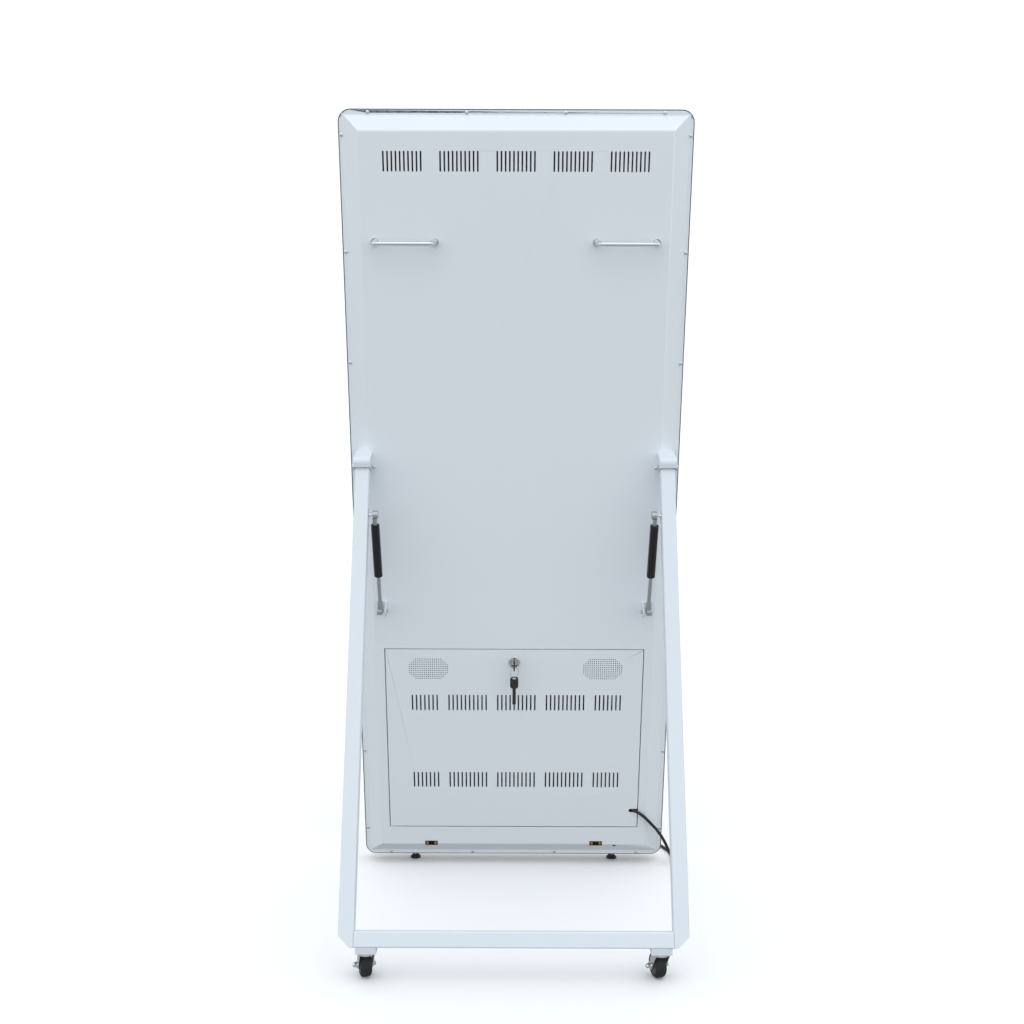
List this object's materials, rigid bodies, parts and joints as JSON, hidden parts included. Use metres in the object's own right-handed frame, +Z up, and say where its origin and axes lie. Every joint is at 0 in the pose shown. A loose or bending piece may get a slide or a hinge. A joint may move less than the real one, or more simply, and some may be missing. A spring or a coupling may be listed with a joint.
{
  "type": "touchscreen kiosk",
  "caption": "Tall free-standing touchscreen kiosk seen from its service side, leaning on a folding square-tube rear stand with two castors, gas struts and a lockable service door.",
  "frame": {"origin": "centre of the footprint's bounding box on the floor, without the loose power cord", "axes": "+Z up, the screen faces -Y and the service side and stand face +Y, +X to the right when one looks along +Y at the screen"},
  "size_m": [0.7347, 0.8162, 1.6737],
  "materials": {
    "white_powder_coat": "satin powder coat with a fine texture",
    "leg_powder_coat": "satin powder coat",
    "graphite_coat": "satin dark grey coat",
    "black_glass": "polished, printed black behind",
    "black_plastic": "matt moulded",
    "zinc_steel": "bright zinc",
    "chrome": "polished",
    "black_paint": "gloss black paint",
    "black_rubber": "matt",
    "wheel_tyre": "matt rubber tread",
    "brass": "bare brushed brass",
    "nylon": "natural nylon"
  },
  "bodies": {
    "panel": {"rear_shell": "white_powder_coat", "front_frame": "graphite_coat", "front_glass": "black_glass", "touch_frame": "black_plastic", "display_panel": "black_plastic", "display_rails": "zinc_steel", "mounting_plate": "zinc_steel", "mini_pc": "black_plastic", "power_supply": "zinc_steel", "shell_screws": "chrome", "door_frame": "white_powder_coat", "door_pins": "zinc_steel", "handle_left": "chrome", "handle_right": "chrome", "handle_screws": "zinc_steel", "pivot_bracket_left": "leg_powder_coat", "pivot_bracket_right": "leg_powder_coat", "bracket_screws": "zinc_steel", "pivot_bolts": "chrome", "strut_tabs": "white_powder_coat", "tab_ball_studs": "chrome", "foot_sockets": "zinc_steel", "contact_frames": "black_plastic", "contact_bars": "brass", "cord_grommet": "black_rubber", "power_cord": "black_rubber", "cord_coil": "black_rubber", "cord_tie": "black_plastic", "mains_plug": "black_plastic"},
    "door": {"access_door": "white_powder_coat", "speaker_left": "black_plastic", "speaker_right": "black_plastic", "lock_barrel": "chrome", "lock_nut": "zinc_steel"},
    "lock": {"lock_plug": "chrome", "lock_cam": "zinc_steel", "service_key": "black_plastic"},
    "keys": {"key_ring": "zinc_steel", "spare_key": "black_plastic"},
    "stand": {"stand_leg_left": "leg_powder_coat", "stand_leg_right": "leg_powder_coat", "stand_crossbar": "leg_powder_coat", "leg_plugs": "nylon", "pivot_bushes": "nylon", "leg_ball_studs": "chrome", "castor_pads": "leg_powder_coat"},
    "cylinder_left": {"strut_cylinder_left": "black_paint"},
    "cylinder_right": {"strut_cylinder_right": "black_paint"},
    "rod_left": {"strut_rod_left": "graphite_coat"},
    "rod_right": {"strut_rod_right": "graphite_coat"},
    "fork_left": {"castor_fork_left": "chrome", "castor_axle_left": "chrome"},
    "fork_right": {"castor_fork_right": "chrome", "castor_axle_right": "chrome"},
    "wheel_left": {"castor_wheel_left": "wheel_tyre"},
    "wheel_right": {"castor_wheel_right": "wheel_tyre"},
    "foot_left": {"foot_stud_left": "chrome", "foot_pad_left": "black_plastic"},
    "foot_right": {"foot_stud_right": "chrome", "foot_pad_right": "black_plastic"}
  },
  "joints": [
    {"name": "stand_fold", "type": "hinge", "parent": "panel", "child": "stand", "pos_m": [0, -0.02088, 0.95645], "axis": [1, 0, 0], "range_deg": [-32, 0]},
    {"name": "door_tip", "type": "hinge", "parent": "panel", "child": "door", "pos_m": [0, -0.2341, 0.10723], "axis": [-1, 0, 0], "range_deg": [0, 70]},
    {"name": "lock_turn", "type": "hinge", "parent": "door", "child": "lock", "pos_m": [0, -0.1437, 0.5133], "axis": [0, -0.9781, 0.2079], "range_deg": [0, 90]},
    {"name": "key_ring_swing", "type": "hinge", "parent": "lock", "child": "keys", "pos_m": [0, -0.1168, 0.50759], "axis": [1, 0, 0], "range_deg": [-15, 45]},
    {"name": "rod_turn_left", "type": "hinge", "parent": "panel", "child": "rod_left", "pos_m": [0.291, -0.08865, 0.63758], "axis": [1, 0, 0], "range_deg": [0, 13]},
    {"name": "cylinder_turn_left", "type": "hinge", "parent": "stand", "child": "cylinder_left", "pos_m": [0.291, 0.01435, 0.85966], "axis": [1, 0, 0], "range_deg": [0, 45]},
    {"name": "rod_turn_right", "type": "hinge", "parent": "panel", "child": "rod_right", "pos_m": [-0.291, -0.08865, 0.63758], "axis": [1, 0, 0], "range_deg": [0, 13]},
    {"name": "cylinder_turn_right", "type": "hinge", "parent": "stand", "child": "cylinder_right", "pos_m": [-0.291, 0.01435, 0.85966], "axis": [1, 0, 0], "range_deg": [0, 45]},
    {"name": "castor_swivel_left", "type": "hinge", "parent": "stand", "child": "fork_left", "pos_m": [0.28, 0.30395, 0.05], "axis": [0, 0, 1], "continuous": true},
    {"name": "castor_roll_left", "type": "hinge", "parent": "fork_left", "child": "wheel_left", "pos_m": [0.28414, 0.2885, 0.024], "axis": [0.9659, 0.2588, 0], "continuous": true},
    {"name": "castor_swivel_right", "type": "hinge", "parent": "stand", "child": "fork_right", "pos_m": [-0.28, 0.30395, 0.05], "axis": [0, 0, 1], "continuous": true},
    {"name": "castor_roll_right", "type": "hinge", "parent": "fork_right", "child": "wheel_right", "pos_m": [-0.27586, 0.2885, 0.024], "axis": [0.9659, 0.2588, 0], "continuous": true},
    {"name": "foot_level_left", "type": "slide", "parent": "panel", "child": "foot_left", "axis": [0, -0.2079, -0.9781], "range_m": [0, 0.012]},
    {"name": "foot_level_right", "type": "slide", "parent": "panel", "child": "foot_right", "axis": [0, -0.2079, -0.9781], "range_m": [0, 0.012]}
  ],
  "couplings": [
    {"joint": "rod_turn_left", "follows": "stand_fold", "ratio": -0.388},
    {"joint": "cylinder_turn_left", "follows": "stand_fold", "ratio": -1.388},
    {"joint": "rod_turn_right", "follows": "stand_fold", "ratio": -0.388},
    {"joint": "cylinder_turn_right", "follows": "stand_fold", "ratio": -1.388}
  ]
}
